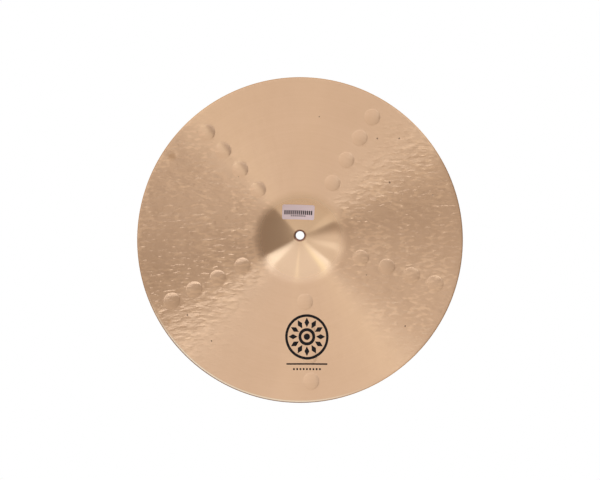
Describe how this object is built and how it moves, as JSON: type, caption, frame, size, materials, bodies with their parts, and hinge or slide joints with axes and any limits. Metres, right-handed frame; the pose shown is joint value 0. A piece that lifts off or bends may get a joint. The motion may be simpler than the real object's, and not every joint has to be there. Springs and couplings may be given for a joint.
{
  "type": "crash cymbal",
  "caption": "Round hammered bronze crash cymbal with a raised bell, a bore at its centre and a shallow bow; it rests on its rim and hangs on a stand's post through the bell.",
  "frame": {"origin": "on the axis of the centre hole, in the plane that the rim rests on", "axes": "+Z along the centre hole's axis and out through the bell, so the cymbal lies bell up; -Y towards the print on the underside of the bow, +Y towards the label inside the bell"},
  "size_m": [0.4572, 0.4572, 0.0416],
  "materials": {
    "bronze": "lathed and hammered bell bronze, satin with fine circular tone grooves, browner at the rim",
    "label_paper": "matt pale lilac paper",
    "label_ink": "dark brown-black thermal print on paper",
    "bow_ink": "satin black screen print on bare bronze"
  },
  "bodies": {
    "root": {"cymbal_plate": "bronze", "bell_label": "label_paper", "label_print": "label_ink", "bow_roundel": "bow_ink", "bow_rules": "bow_ink"}
  },
  "joints": []
}
